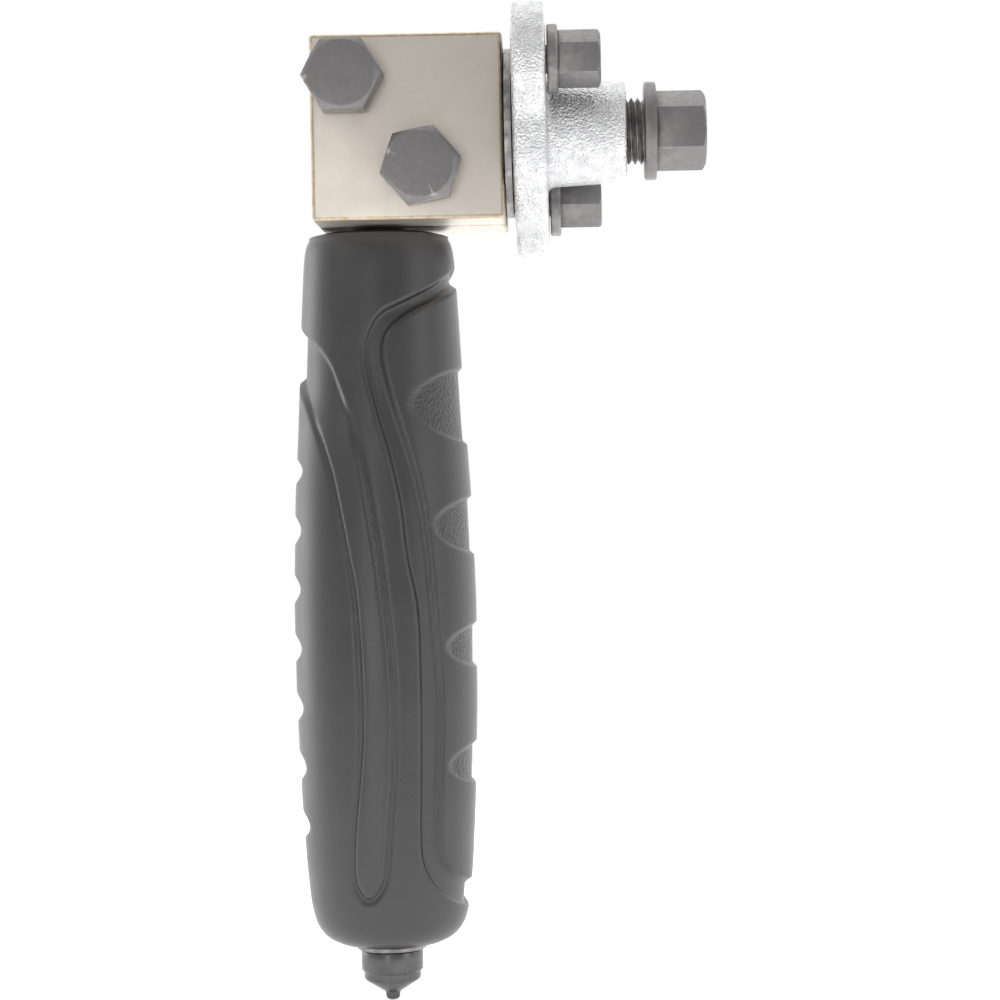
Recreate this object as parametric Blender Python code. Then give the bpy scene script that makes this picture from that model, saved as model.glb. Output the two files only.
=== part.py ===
"""Hand-held brake pipe flaring tool: a split clamp block on a grip, with a turret of screw-driven dies.

Metres, +Z up. The origin is the centre of the clamp block's flat back face. +X runs along the pipe
towards the forcing screw, -Y is the side with the clamp bolts, and the grip hangs down along -Z.
"""

import math

import bmesh
import bpy
from mathutils import Matrix, Vector

MM = 0.001
GAP = 0.3 * MM

# Clamp block
BLOCK_WIDTH = 46 * MM
BLOCK_HEIGHT = 44.5 * MM
REAR_DEPTH = 20 * MM
FRONT_DEPTH = 16 * MM
BLOCK_EDGE = 1.0 * MM
PIPE_RADIUS = 2.375 * MM
PIPE_Y = -REAR_DEPTH

# Clamp bolts, M10 with 17 mm heads
BOLT_RADIUS = 5 * MM
BOLT_ACROSS_FLATS = 17 * MM
BOLT_HEAD = 7.5 * MM
BOLT_REACH = 32 * MM
BOLT_WASHER_RADIUS = 8.2 * MM
BOLT_WASHER_THICK = 1.2 * MM
BOLT_TWISTS = {"upper": math.radians(8), "lower": math.radians(-8)}
BOLT_PLACES = {"upper": (-14.8 * MM, 11.7 * MM), "lower": (3.4 * MM, -10 * MM)}
DOWEL_RADIUS = 2 * MM
DOWEL_LENGTH = 20 * MM
DOWEL_EASE = 0.4 * MM
DOWEL_PLACES = {"upper": (16 * MM, 15 * MM), "lower": (-17 * MM, -15 * MM)}

# Index plate, with the spigot that the turret turns on
INDEX_RADIUS = 20.5 * MM
INDEX_SCREW_RADIUS = 1.5 * MM
INDEX_SCREW_START = 15 * MM
INDEX_SCREW_PLACES = {"upper": (12 * MM, 9.5 * MM), "lower": (12 * MM, -9.5 * MM)}

# Turret
PLATE_START = 25.2 * MM
PLATE_END = 33.4 * MM
PLATE_RADIUS = 23 * MM
STATION_PLACES = {"upper": (-16.2 * MM, 15.2 * MM), "lower": (16.2 * MM, -15.2 * MM)}
LOBE_RADIUS = 14.2 * MM
BOSS_END = 52.6 * MM
BOSS_ROOT_RADIUS = 13.3 * MM
BOSS_TIP_RADIUS = 12.4 * MM
SPIGOT_RADIUS = 10 * MM
SPIGOT_END = 35 * MM
SPIGOT_BORE = 5.2 * MM
CIRCLIP_START = 33.6 * MM
CIRCLIP_END = 34.6 * MM
CIRCLIP_GROOVE = 9 * MM
CIRCLIP_RADIUS = 10.9 * MM
CIRCLIP_OPENING = 1.6 * MM
RIM_EASE = 1.2 * MM
CAVITY_END = 37.5 * MM
CAVITY_RADIUS = 11.3 * MM

# Forcing screw, M16 with a 17 mm hex
SCREW_RADIUS = 8 * MM
SCREW_START = 39.4 * MM
SCREW_COLLAR = 57 * MM
SCREW_COLLAR_RADIUS = 11.9 * MM
SCREW_HEX = 59.9 * MM
SCREW_END = 72 * MM
THREAD_DEPTH = 0.9 * MM
THREAD_PITCH = 1.5 * MM

# The punch ahead of the forcing screw, as (radius, x) points in millimetres
PUNCH_PROFILE = (
    (1.4, 28.4), (1.6, 29.4), (2.4, 30.4), (4.2, 31.0), (4.9, 31.6), (4.9, 38.6), (4.4, 39.2),
)

# Die screws, M8 with a 12 mm hex, and the dies they drive
DIE_SCREW_RADIUS = 4 * MM
DIE_COLLAR_RADIUS = 8.3 * MM
DIE_ACROSS_FLATS = 12 * MM
DIE_HEX = 36.8 * MM
DIE_END = 46.5 * MM
DIE_SCREW_START = 30 * MM
DIE_TWISTS = {"upper": math.radians(2), "lower": math.radians(22)}
DIE_RADIUS = 3.6 * MM
DIE_NOSES = {"upper": 1.5 * MM, "lower": 2.6 * MM}
DIE_STEPS = (25.6 * MM, 27 * MM, 29.6 * MM)

# Grip and its rod
GRIP_X = -9 * MM
GRIP_Y = -11 * MM
ROD_TIP_RADIUS = 5 * MM
ROD_RADIUS = 6 * MM
ROD_TOP = -7 * MM
ROD_BOTTOM = -195.6 * MM
GRIP_BORE = 6.4 * MM
GRIP_TOP = -23.2 * MM
GRIP_BOTTOM = -198.4 * MM
GRIP_DEPTH_SHARE = 0.94
WASHER_RADIUS = 8.6 * MM
WASHER_BORE = 6.2 * MM
WASHER_TOP = -198.7 * MM
WASHER_BOTTOM = -199.9 * MM
GRIP_PROFILE = (
    (14.0, -23.2), (17.2, -24.0), (18.2, -26.5), (18.7, -31.0), (19.5, -45.0), (20.6, -69.0),
    (21.8, -89.0), (22.5, -114.0), (22.3, -138.5), (21.5, -163.0), (20.6, -178.0), (19.7, -188.0),
    (18.4, -193.5), (15.8, -196.8), (12.5, -198.2), (10.0, -198.4),
)
END_PROFILE = (
    (5.6, -196.0), (5.6, -200.2), (7.3, -200.2), (7.7, -200.9), (7.7, -205.0), (7.1, -205.6),
    (7.1, -206.9), (6.6, -207.7), (3.0, -210.0), (1.9, -210.6), (1.7, -212.0), (1.2, -212.6),
)

TURNED_SIDES = 40
HOLE_SIDES = 32

# Each turned or drilled piece is made along Z, and one of these turns it to its own axis.
ALONG_X = Matrix.Rotation(math.pi / 2, 4, "Y")
ALONG_Y = Matrix.Rotation(-math.pi / 2, 4, "X")
ALONG_Z = Matrix.Identity(4)


def clear_scene():
    for old in list(bpy.data.objects):
        bpy.data.objects.remove(old, do_unlink=True)


def finish_material(name, colour, roughness, metallic):
    material = bpy.data.materials.new(name)
    material.use_nodes = True
    shader = material.node_tree.nodes["Principled BSDF"]
    shader.inputs["Base Color"].default_value = (*colour, 1)
    shader.inputs["Roughness"].default_value = roughness
    shader.inputs["Metallic"].default_value = metallic
    return material


def new_object(name, bm, place, turn, material, smooth=True):
    """Turns and places the mesh, leaving the object's origin on its own axis."""
    bmesh.ops.recalc_face_normals(bm, faces=bm.faces)
    mesh = bpy.data.meshes.new(name)
    bm.to_mesh(mesh)
    bm.free()
    if smooth:
        mesh.shade_smooth()
        mesh.set_sharp_from_angle(angle=math.radians(35))
    made = bpy.data.objects.new(name, mesh)
    bpy.context.scene.collection.objects.link(made)
    made.matrix_world = Matrix.Translation(Vector(place)) @ turn
    if material:
        mesh.materials.append(material)
    return made


def ring_of(bm, radius, height, sides, squash=1.0):
    ring = []
    for step in range(sides):
        angle = 2 * math.pi * step / sides
        ring.append(bm.verts.new((radius * math.cos(angle), squash * radius * math.sin(angle), height)))
    return ring


def join_rings(bm, first, second):
    for step in range(len(first)):
        after = (step + 1) % len(first)
        bm.faces.new((first[step], first[after], second[after], second[step]))


def turned_mesh(profile, sides=TURNED_SIDES, squash=1.0, hollow=False):
    """Turns (radius, height) points about Z. A hollow profile is a closed loop; the other has capped ends."""
    bm = bmesh.new()
    rings = [ring_of(bm, radius, height, sides, squash) for radius, height in profile]
    for first, second in zip(rings, rings[1:]):
        join_rings(bm, first, second)
    if hollow:
        join_rings(bm, rings[-1], rings[0])
    else:
        bm.faces.new(rings[0])
        bm.faces.new(rings[-1])
    return bm


def turned(name, profile, place, turn, material, sides=TURNED_SIDES, squash=1.0, hollow=False):
    return new_object(name, turned_mesh(profile, sides, squash, hollow), place, turn, material)


def box_object(name, low, high, material, edge=0.0):
    bm = bmesh.new()
    size = Vector(high) - Vector(low)
    middle = (Vector(high) + Vector(low)) / 2
    bmesh.ops.create_cube(bm, size=1, matrix=Matrix.Diagonal((*size, 1)))
    made = new_object(name, bm, middle, ALONG_Z, material, smooth=False)
    if edge:
        bevel = made.modifiers.new("edges", "BEVEL")
        bevel.width = edge
        bevel.segments = 2
    return made


def cut(target, cutter, operation="DIFFERENCE"):
    cutter.hide_render = True
    cutter.display_type = "WIRE"
    step = target.modifiers.new(cutter.name, "BOOLEAN")
    step.operation = operation
    step.object = cutter
    step.solver = "EXACT"


def drill(target, name, radius, place, turn, low, high):
    """Cuts a round hole along the turned axis, from low to high measured from the place."""
    profile = ((radius, low), (radius, high))
    cut(target, turned(name, profile, place, turn, None, sides=HOLE_SIDES))


def hexagon_mesh(across_flats, low, high, twist, chamfer):
    """A hexagonal prism along Z whose top corners are chamfered."""
    bm = bmesh.new()
    corner = across_flats / math.sqrt(3)
    levels = ((corner, low), (corner, high - chamfer), (corner - 1.5 * chamfer, high))
    rings = [ring_of(bm, radius, height, 6) for radius, height in levels]
    for first, second in zip(rings, rings[1:]):
        join_rings(bm, first, second)
    bm.faces.new(rings[0])
    bm.faces.new(rings[-1])
    bmesh.ops.rotate(bm, verts=bm.verts, cent=(0, 0, 0), matrix=Matrix.Rotation(twist, 3, "Z"))
    return bm


def add_hexagon(target, across_flats, low, high, twist, chamfer, place, turn):
    bm = hexagon_mesh(across_flats, low, high, twist, chamfer)
    cut(target, new_object(target.name + "_hex", bm, place, turn, None, smooth=False), "UNION")


def clamp_block(nickel):
    """The two halves of the block, with the pipe groove, the bolt holes, the dowel holes and the rod's hole."""
    half_width = BLOCK_WIDTH / 2
    half_height = BLOCK_HEIGHT / 2
    rear = box_object(
        "rear_clamp_block",
        (-half_width, -REAR_DEPTH + GAP / 2, -half_height),
        (half_width, 0, half_height),
        nickel,
        BLOCK_EDGE,
    )
    front = box_object(
        "front_clamp_plate",
        (-half_width, -REAR_DEPTH - FRONT_DEPTH, -half_height),
        (half_width, -REAR_DEPTH - GAP / 2, half_height),
        nickel,
        BLOCK_EDGE,
    )
    for half in (rear, front):
        drill(half, half.name + "_groove", PIPE_RADIUS, (0, PIPE_Y, 0), ALONG_X, -0.03, 0.03)
        for which, (x, z) in BOLT_PLACES.items():
            label = half.name + "_bolt_hole_" + which
            drill(half, label, BOLT_RADIUS + GAP, (x, PIPE_Y, z), ALONG_Y, -0.03, 0.03)
        for which, (x, z) in DOWEL_PLACES.items():
            label = half.name + "_dowel_hole_" + which
            reach = DOWEL_LENGTH / 2 + GAP
            drill(half, label, DOWEL_RADIUS + GAP, (x, PIPE_Y, z), ALONG_Y, -reach, reach)
    rod_hole = (GRIP_X, GRIP_Y, 0)
    drill(rear, "rod_hole", ROD_TIP_RADIUS + GAP, rod_hole, ALONG_Z, -0.03, ROD_TOP + GAP)
    return rear, front


def clamp_bolt(which, blackened):
    """A hex bolt pointing along +Y, with a washer face under its head."""
    x, z = BOLT_PLACES[which]
    head_face = -FRONT_DEPTH - GAP
    profile = (
        (BOLT_WASHER_RADIUS, head_face - BOLT_WASHER_THICK),
        (BOLT_WASHER_RADIUS, head_face),
        (BOLT_RADIUS, head_face),
        (BOLT_RADIUS, head_face + BOLT_REACH - 1 * MM),
        (BOLT_RADIUS - 1 * MM, head_face + BOLT_REACH),
    )
    place = (x, PIPE_Y, z)
    bolt = turned("clamp_bolt_" + which, profile, place, ALONG_Y, blackened)
    turn = ALONG_Y @ Matrix.Rotation(math.pi, 4, "X")
    low = -head_face + BOLT_WASHER_THICK / 2
    high = -head_face + BOLT_HEAD
    add_hexagon(bolt, BOLT_ACROSS_FLATS, low, high, BOLT_TWISTS[which], 0.9 * MM, place, turn)
    return bolt


def dowel(which, steel):
    x, z = DOWEL_PLACES[which]
    half = DOWEL_LENGTH / 2
    profile = (
        (DOWEL_RADIUS - DOWEL_EASE, -half),
        (DOWEL_RADIUS, -half + DOWEL_EASE),
        (DOWEL_RADIUS, half - DOWEL_EASE),
        (DOWEL_RADIUS - DOWEL_EASE, half),
    )
    return turned("dowel_pin_" + which, profile, (x, PIPE_Y, z), ALONG_Y, steel, sides=20)


def index_plate(rear, blackened):
    """The dark plate on the block's side, with the hollow spigot that the turret turns on."""
    start = BLOCK_WIDTH / 2 + GAP
    end = PLATE_START - GAP
    profile = (
        (INDEX_RADIUS, start), (INDEX_RADIUS, end), (SPIGOT_RADIUS, end), (SPIGOT_RADIUS, CIRCLIP_START),
        (CIRCLIP_GROOVE, CIRCLIP_START), (CIRCLIP_GROOVE, CIRCLIP_END),
        (SPIGOT_RADIUS, CIRCLIP_END), (SPIGOT_RADIUS, SPIGOT_END), (SPIGOT_BORE, SPIGOT_END),
        (SPIGOT_BORE, start),
    )
    plate = turned("index_plate", profile, (0, PIPE_Y, 0), ALONG_X, blackened, hollow=True)
    for which, (y, z) in INDEX_SCREW_PLACES.items():
        place = (0, PIPE_Y + y, z)
        hole = INDEX_SCREW_RADIUS + GAP
        drill(plate, "plate_hole_" + which, hole, place, ALONG_X, 0.02, 0.03)
        drill(rear, "tapped_hole_" + which, hole, place, ALONG_X, INDEX_SCREW_START - 0.5 * MM, 0.03)
        shank = ((INDEX_SCREW_RADIUS, INDEX_SCREW_START), (INDEX_SCREW_RADIUS, end - 0.2 * MM))
        turned("index_plate_screw_" + which, shank, place, ALONG_X, blackened, sides=20)
    return plate


def circlip(steel):
    inner = CIRCLIP_GROOVE + 0.15 * MM
    low = CIRCLIP_START + 0.15 * MM
    high = CIRCLIP_END - 0.15 * MM
    profile = ((CIRCLIP_RADIUS, low), (CIRCLIP_RADIUS, high), (inner, high), (inner, low))
    ring = turned("turret_circlip", profile, (0, PIPE_Y, 0), ALONG_X, steel, hollow=True)
    corner = (0.03, PIPE_Y - CIRCLIP_OPENING, 0)
    opening = box_object("circlip_opening", corner, (0.04, PIPE_Y + CIRCLIP_OPENING, 0.02), None)
    cut(ring, opening)
    return ring


def lobe_reach(angle, station):
    """How far out the lobe round a station reaches from the turret's axis at this angle, or nothing."""
    y, z = station
    distance = math.hypot(y, z)
    off = angle - math.atan2(z, y)
    across = LOBE_RADIUS**2 - (distance * math.sin(off)) ** 2
    if across < 0 or math.cos(off) < 0:
        return 0.0
    return distance * math.cos(off) + math.sqrt(across)


def turret_outline(sides):
    """The round plate with a lobe for each die, as (y, z) points, eased where a lobe meets the plate."""
    reaches = []
    for step in range(sides):
        angle = 2 * math.pi * step / sides
        lobes = [lobe_reach(angle, station) for station in STATION_PLACES.values()]
        reaches.append(max(PLATE_RADIUS, *lobes))
    for _ in range(2):
        reaches = [
            max(reach, (reaches[step - 1] + reaches[(step + 1) % sides]) / 2)
            for step, reach in enumerate(reaches)
        ]
    angles = [2 * math.pi * step / sides for step in range(sides)]
    return [(reach * math.cos(angle), reach * math.sin(angle)) for reach, angle in zip(reaches, angles)]


def turret_plate_mesh():
    """The lobed plate with its rim eased on both faces."""
    bm = bmesh.new()
    outline = turret_outline(72)
    slight = RIM_EASE * 0.3
    levels = (
        (RIM_EASE, PLATE_START), (slight, PLATE_START + slight), (0, PLATE_START + RIM_EASE),
        (0, PLATE_END - RIM_EASE), (slight, PLATE_END - slight), (RIM_EASE, PLATE_END),
    )
    rings = []
    for inset, x in levels:
        ring = []
        for y, z in outline:
            share = 1 - inset / math.hypot(y, z)
            ring.append(bm.verts.new((x, y * share, z * share)))
        rings.append(ring)
    for first, second in zip(rings, rings[1:]):
        join_rings(bm, first, second)
    bm.faces.new(rings[0])
    bm.faces.new(rings[-1])
    return bm


def turret(cast):
    """The cast turret: lobed plate, tapered boss, the turret's own bore and the two tapped die holes."""
    place = (0, PIPE_Y, 0)
    body = new_object("turret_body", turret_plate_mesh(), place, ALONG_Z, cast)
    slight = RIM_EASE * 0.3
    boss = (
        (BOSS_ROOT_RADIUS - 1 * MM, PLATE_END - 3 * MM), (BOSS_ROOT_RADIUS + 1.2 * MM, PLATE_END - 0.2 * MM),
        (BOSS_ROOT_RADIUS + 0.3 * MM, PLATE_END + 0.8 * MM), (BOSS_ROOT_RADIUS, PLATE_END + 2 * MM),
        (BOSS_TIP_RADIUS, BOSS_END - RIM_EASE), (BOSS_TIP_RADIUS - slight, BOSS_END - slight),
        (BOSS_TIP_RADIUS - RIM_EASE, BOSS_END),
    )
    cut(body, turned("turret_boss", boss, place, ALONG_X, None), "UNION")
    bores = (
        (SPIGOT_RADIUS + GAP, 0.02), (SPIGOT_RADIUS + GAP, PLATE_END - 0.4 * MM),
        (CAVITY_RADIUS, PLATE_END - 0.4 * MM), (CAVITY_RADIUS, CAVITY_END),
        (SCREW_RADIUS + GAP, CAVITY_END), (SCREW_RADIUS + GAP, 0.06),
    )
    cut(body, turned("turret_bore", bores, place, ALONG_X, None))
    for which, (y, z) in STATION_PLACES.items():
        station = (0, PIPE_Y + y, z)
        drill(body, "die_hole_" + which, DIE_SCREW_RADIUS + GAP, station, ALONG_X, 0.02, 0.04)
    return body


def forcing_screw(blackened):
    """The large screw, with its thread cut as rings where it shows between the boss and the collar."""
    profile = [(SCREW_RADIUS - 1 * MM, SCREW_START), (SCREW_RADIUS, SCREW_START + 1 * MM)]
    crest = SCREW_COLLAR - 5 * THREAD_PITCH
    for _ in range(5):
        profile.append((SCREW_RADIUS, crest))
        profile.append((SCREW_RADIUS - THREAD_DEPTH, crest + THREAD_PITCH / 2))
        crest += THREAD_PITCH
    ease = 0.3 * MM
    profile += [
        (SCREW_RADIUS - THREAD_DEPTH, SCREW_COLLAR), (SCREW_COLLAR_RADIUS - ease, SCREW_COLLAR),
        (SCREW_COLLAR_RADIUS, SCREW_COLLAR + ease), (SCREW_COLLAR_RADIUS, SCREW_HEX - ease),
        (SCREW_COLLAR_RADIUS - ease, SCREW_HEX),
    ]
    place = (0, PIPE_Y, 0)
    screw = turned("forcing_screw", profile, place, ALONG_X, blackened)
    twist = math.radians(3)
    add_hexagon(screw, BOLT_ACROSS_FLATS, SCREW_HEX - 1 * MM, SCREW_END, twist, 0.7 * MM, place, ALONG_X)
    return screw


def forming_punch(steel):
    """The loose punch ahead of the forcing screw: a plain body and a stepped nose."""
    profile = [(radius * MM, x * MM) for radius, x in PUNCH_PROFILE]
    return turned("forming_punch", profile, (0, PIPE_Y, 0), ALONG_X, steel, sides=32)


def die_screw(which, blackened):
    """A short screw with a collar and a hex, which drives the die at its station."""
    y, z = STATION_PLACES[which]
    start = PLATE_END + GAP
    ease = 0.3 * MM
    profile = (
        (DIE_SCREW_RADIUS, DIE_SCREW_START), (DIE_SCREW_RADIUS, start), (DIE_COLLAR_RADIUS - ease, start),
        (DIE_COLLAR_RADIUS, start + ease), (DIE_COLLAR_RADIUS, DIE_HEX - ease),
        (DIE_COLLAR_RADIUS - ease, DIE_HEX),
    )
    place = (0, PIPE_Y + y, z)
    screw = turned(which + "_die_screw", profile, place, ALONG_X, blackened)
    low = DIE_HEX - 1 * MM
    add_hexagon(screw, DIE_ACROSS_FLATS, low, DIE_END, DIE_TWISTS[which], 0.5 * MM, place, ALONG_X)
    return screw


def die(which, steel):
    y, z = STATION_PLACES[which]
    profile = list(zip((DIE_NOSES[which], DIE_RADIUS, DIE_RADIUS), DIE_STEPS))
    return turned(which + "_die", profile, (0, PIPE_Y + y, z), ALONG_X, steel, sides=28)


def handle(steel, grip_plastic, blackened):
    """The rod, the moulded grip on it, and the washer and end plug that hold the grip."""
    place = (GRIP_X, GRIP_Y, 0)
    rod = (
        (ROD_RADIUS, ROD_BOTTOM), (ROD_RADIUS, -BLOCK_HEIGHT / 2 - GAP),
        (ROD_TIP_RADIUS, -BLOCK_HEIGHT / 2 - GAP), (ROD_TIP_RADIUS, ROD_TOP),
    )
    turned("handle_rod", rod, place, ALONG_Z, steel, sides=32)
    outer = [(radius * MM, height * MM) for radius, height in GRIP_PROFILE]
    bore = [(GRIP_BORE, GRIP_BOTTOM), (GRIP_BORE, GRIP_TOP)]
    turned("grip", outer + bore, place, ALONG_Z, grip_plastic, 48, GRIP_DEPTH_SHARE, hollow=True)
    washer = (
        (WASHER_RADIUS, WASHER_TOP), (WASHER_RADIUS, WASHER_BOTTOM),
        (WASHER_BORE, WASHER_BOTTOM), (WASHER_BORE, WASHER_TOP),
    )
    turned("end_washer", washer, place, ALONG_Z, blackened, hollow=True)
    plug = [(radius * MM, height * MM) for radius, height in END_PROFILE]
    turned("end_plug", plug, place, ALONG_Z, steel)


def main():
    clear_scene()
    nickel = finish_material("nickel_plate", (0.62, 0.57, 0.5), 0.34, 1.0)
    blackened = finish_material("blackened_steel", (0.11, 0.105, 0.105), 0.45, 0.85)
    cast = finish_material("cast_zinc", (0.8, 0.8, 0.8), 0.5, 0.9)
    steel = finish_material("turned_steel", (0.3, 0.3, 0.3), 0.3, 1.0)
    grip_plastic = finish_material("grip_plastic", (0.075, 0.075, 0.08), 0.55, 0.0)
    rear, _ = clamp_block(nickel)
    for which in BOLT_PLACES:
        clamp_bolt(which, blackened)
        dowel(which, steel)
    index_plate(rear, blackened)
    circlip(steel)
    turret(cast)
    forcing_screw(blackened)
    forming_punch(steel)
    for which in STATION_PLACES:
        die_screw(which, blackened)
        die(which, steel)
    handle(steel, grip_plastic, blackened)


main()
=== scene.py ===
import math

import bpy
import numpy as np
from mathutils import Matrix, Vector


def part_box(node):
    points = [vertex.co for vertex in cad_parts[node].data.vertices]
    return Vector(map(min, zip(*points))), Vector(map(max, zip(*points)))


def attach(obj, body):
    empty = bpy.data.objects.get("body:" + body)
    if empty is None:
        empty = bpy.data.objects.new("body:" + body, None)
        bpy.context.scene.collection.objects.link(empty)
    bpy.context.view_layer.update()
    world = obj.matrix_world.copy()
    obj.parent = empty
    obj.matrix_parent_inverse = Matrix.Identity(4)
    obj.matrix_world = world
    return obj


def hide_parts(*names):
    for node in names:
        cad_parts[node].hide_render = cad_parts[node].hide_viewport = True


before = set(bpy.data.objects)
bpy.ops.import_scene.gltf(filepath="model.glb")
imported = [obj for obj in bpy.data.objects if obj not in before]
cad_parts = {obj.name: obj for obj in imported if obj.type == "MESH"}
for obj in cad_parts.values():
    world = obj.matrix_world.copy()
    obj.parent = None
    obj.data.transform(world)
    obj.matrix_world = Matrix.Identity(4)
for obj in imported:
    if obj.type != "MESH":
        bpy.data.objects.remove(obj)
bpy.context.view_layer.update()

mm = 0.001
clearance = 0.0003  # left between neighbouring pieces
past = 0.01  # how far a cutter runs beyond the piece it cuts
screwLow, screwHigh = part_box("forcing_screw")
pipeY = (screwLow.y + screwHigh.y) / 2  # the pipe's axis, shared by the forcing screw and the turret
pipeZ = (screwLow.z + screwHigh.z) / 2
alongX = (0, math.pi / 2, 0)  # turns a shape made along +Z to point along +X
towardFront = (math.pi / 2, 0, 0)  # turns +Z to point along -Y


def deselectAll():
    if bpy.context.mode != "OBJECT":
        bpy.ops.object.mode_set(mode="OBJECT")
    bpy.ops.object.select_all(action="DESELECT")


def pick(obj):
    deselectAll()
    obj.select_set(True)
    bpy.context.view_layer.objects.active = obj


def newest(name):
    obj = bpy.context.object
    obj.name = name
    obj.data.name = name
    return obj


# Puts the object's place, turn and size into its mesh
def settle(obj):
    pick(obj)
    bpy.ops.object.transform_apply(location=True, rotation=True, scale=True)


def applyAll(obj):
    pick(obj)
    for modifier in list(obj.modifiers):
        bpy.ops.object.modifier_apply(modifier=modifier.name)


def smooth(obj, angle=32):
    pick(obj)
    bpy.ops.object.shade_smooth_by_angle(angle=math.radians(angle))


def fixNormals(obj, merge=1e-6):
    pick(obj)
    bpy.ops.object.mode_set(mode="EDIT")
    bpy.ops.mesh.select_all(action="SELECT")
    bpy.ops.mesh.remove_doubles(threshold=merge)
    bpy.ops.mesh.normals_make_consistent(inside=False)
    bpy.ops.object.mode_set(mode="OBJECT")


def boolean(target, cutter, operation="DIFFERENCE"):
    step = target.modifiers.new("boolean", "BOOLEAN")
    step.operation = operation
    step.object = cutter
    step.solver = "EXACT"
    applyAll(target)
    bpy.data.objects.remove(cutter, do_unlink=True)


def bevelled(obj, width, segments=3, angle=30):
    step = obj.modifiers.new("bevel", "BEVEL")
    step.width = width
    step.segments = segments
    step.limit_method = "ANGLE"
    step.angle_limit = math.radians(angle)
    step.harden_normals = False
    applyAll(obj)


# A closed cylinder between two points on one axis
def rod(name, radius, start, end, sides=64, turn=(0, 0, 0)):
    start, end = Vector(start), Vector(end)
    deselectAll()
    bpy.ops.mesh.primitive_cylinder_add(
        vertices=sides, radius=radius, depth=(end - start).length, location=(start + end) / 2, rotation=turn
    )
    obj = newest(name)
    settle(obj)
    return obj


# Spins (radius, height) points about Z into a closed turned shape; a radius of 0 closes an end
def spun(name, profile, steps=96):
    deselectAll()
    mesh = bpy.data.meshes.new(name)
    points = [(radius, 0, height) for radius, height in profile]
    mesh.from_pydata(points, [(i, i + 1) for i in range(len(points) - 1)], [])
    obj = bpy.data.objects.new(name, mesh)
    bpy.context.scene.collection.objects.link(obj)
    pick(obj)
    bpy.ops.object.mode_set(mode="EDIT")
    bpy.ops.mesh.select_all(action="SELECT")
    bpy.ops.mesh.spin(steps=steps, angle=2 * math.pi, center=(0, 0, 0), axis=(0, 0, 1))
    bpy.ops.object.mode_set(mode="OBJECT")
    fixNormals(obj)
    return obj


def place(obj, location, turn=(0, 0, 0)):
    obj.location = location
    obj.rotation_euler = turn
    settle(obj)
    return obj


def middleOf(node):
    low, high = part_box(node)
    return (low + high) / 2


def surface(obj, material):
    obj.data.materials.clear()
    obj.data.materials.append(material)


def standIn(obj, body, slot, *nodes):
    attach(obj, body)
    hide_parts(*nodes)


def addNode(tree, kind, at, **values):
    node = tree.nodes.new(kind)
    node.location = at
    for key, value in values.items():
        setattr(node, key, value)
    return node


def newGroup(name, inputs, outputs):
    group = bpy.data.node_groups.new(name, "ShaderNodeTree")
    for label, kind, value in inputs:
        socket = group.interface.new_socket(name=label, in_out="INPUT", socket_type=kind)
        socket.default_value = value
    for label, kind in outputs:
        group.interface.new_socket(name=label, in_out="OUTPUT", socket_type=kind)
    return group, addNode(group, "NodeGroupInput", (-900, 0)), addNode(group, "NodeGroupOutput", (700, 0))


# Soft blotches that shift a colour and its roughness
def mottleGroup():
    group, given, out = newGroup(
        "mottle",
        [("Color A", "NodeSocketColor", (0.5, 0.5, 0.5, 1)),
         ("Color B", "NodeSocketColor", (0.4, 0.4, 0.4, 1)),
         ("Size", "NodeSocketFloat", 150.0),
         ("Rough Low", "NodeSocketFloat", 0.3),
         ("Rough High", "NodeSocketFloat", 0.45)],
        [("Color", "NodeSocketColor"), ("Roughness", "NodeSocketFloat"), ("Mask", "NodeSocketFloat")],
    )
    where = addNode(group, "ShaderNodeTexCoord", (-1100, -250))
    noise = addNode(group, "ShaderNodeTexNoise", (-600, 0))
    noise.inputs["Detail"].default_value = 6
    noise.inputs["Roughness"].default_value = 0.62
    ramp = addNode(group, "ShaderNodeMapRange", (-400, 0))
    ramp.inputs["From Min"].default_value = 0.34
    ramp.inputs["From Max"].default_value = 0.68
    mix = addNode(group, "ShaderNodeMix", (0, 150), data_type="RGBA")
    rough = addNode(group, "ShaderNodeMapRange", (0, -150))
    link = group.links.new
    link(where.outputs["Object"], noise.inputs["Vector"])
    link(given.outputs["Size"], noise.inputs["Scale"])
    link(noise.outputs["Fac"], ramp.inputs["Value"])
    link(ramp.outputs["Result"], mix.inputs["Factor"])
    link(given.outputs["Color A"], mix.inputs[6])
    link(given.outputs["Color B"], mix.inputs[7])
    link(ramp.outputs["Result"], rough.inputs["Value"])
    link(given.outputs["Rough Low"], rough.inputs["To Min"])
    link(given.outputs["Rough High"], rough.inputs["To Max"])
    link(mix.outputs[2], out.inputs["Color"])
    link(rough.outputs["Result"], out.inputs["Roughness"])
    link(ramp.outputs["Result"], out.inputs["Mask"])
    return group


# Fine grain as a height: pebbles from cells mixed with noise
def grainGroup():
    group, given, out = newGroup(
        "grain",
        [("Size", "NodeSocketFloat", 1500.0), ("Pebble", "NodeSocketFloat", 0.5)],
        [("Height", "NodeSocketFloat")],
    )
    where = addNode(group, "ShaderNodeTexCoord", (-1100, -250))
    noise = addNode(group, "ShaderNodeTexNoise", (-600, 100))
    noise.inputs["Detail"].default_value = 4
    cells = addNode(group, "ShaderNodeTexVoronoi", (-600, -200), feature="SMOOTH_F1")
    mix = addNode(group, "ShaderNodeMix", (-200, 0), data_type="FLOAT")
    link = group.links.new
    for node in (noise, cells):
        link(where.outputs["Object"], node.inputs["Vector"])
        link(given.outputs["Size"], node.inputs["Scale"])
    link(given.outputs["Pebble"], mix.inputs["Factor"])
    link(noise.outputs["Fac"], mix.inputs[2])
    link(cells.outputs["Distance"], mix.inputs[3])
    link(mix.outputs[0], out.inputs["Height"])
    return group


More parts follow.
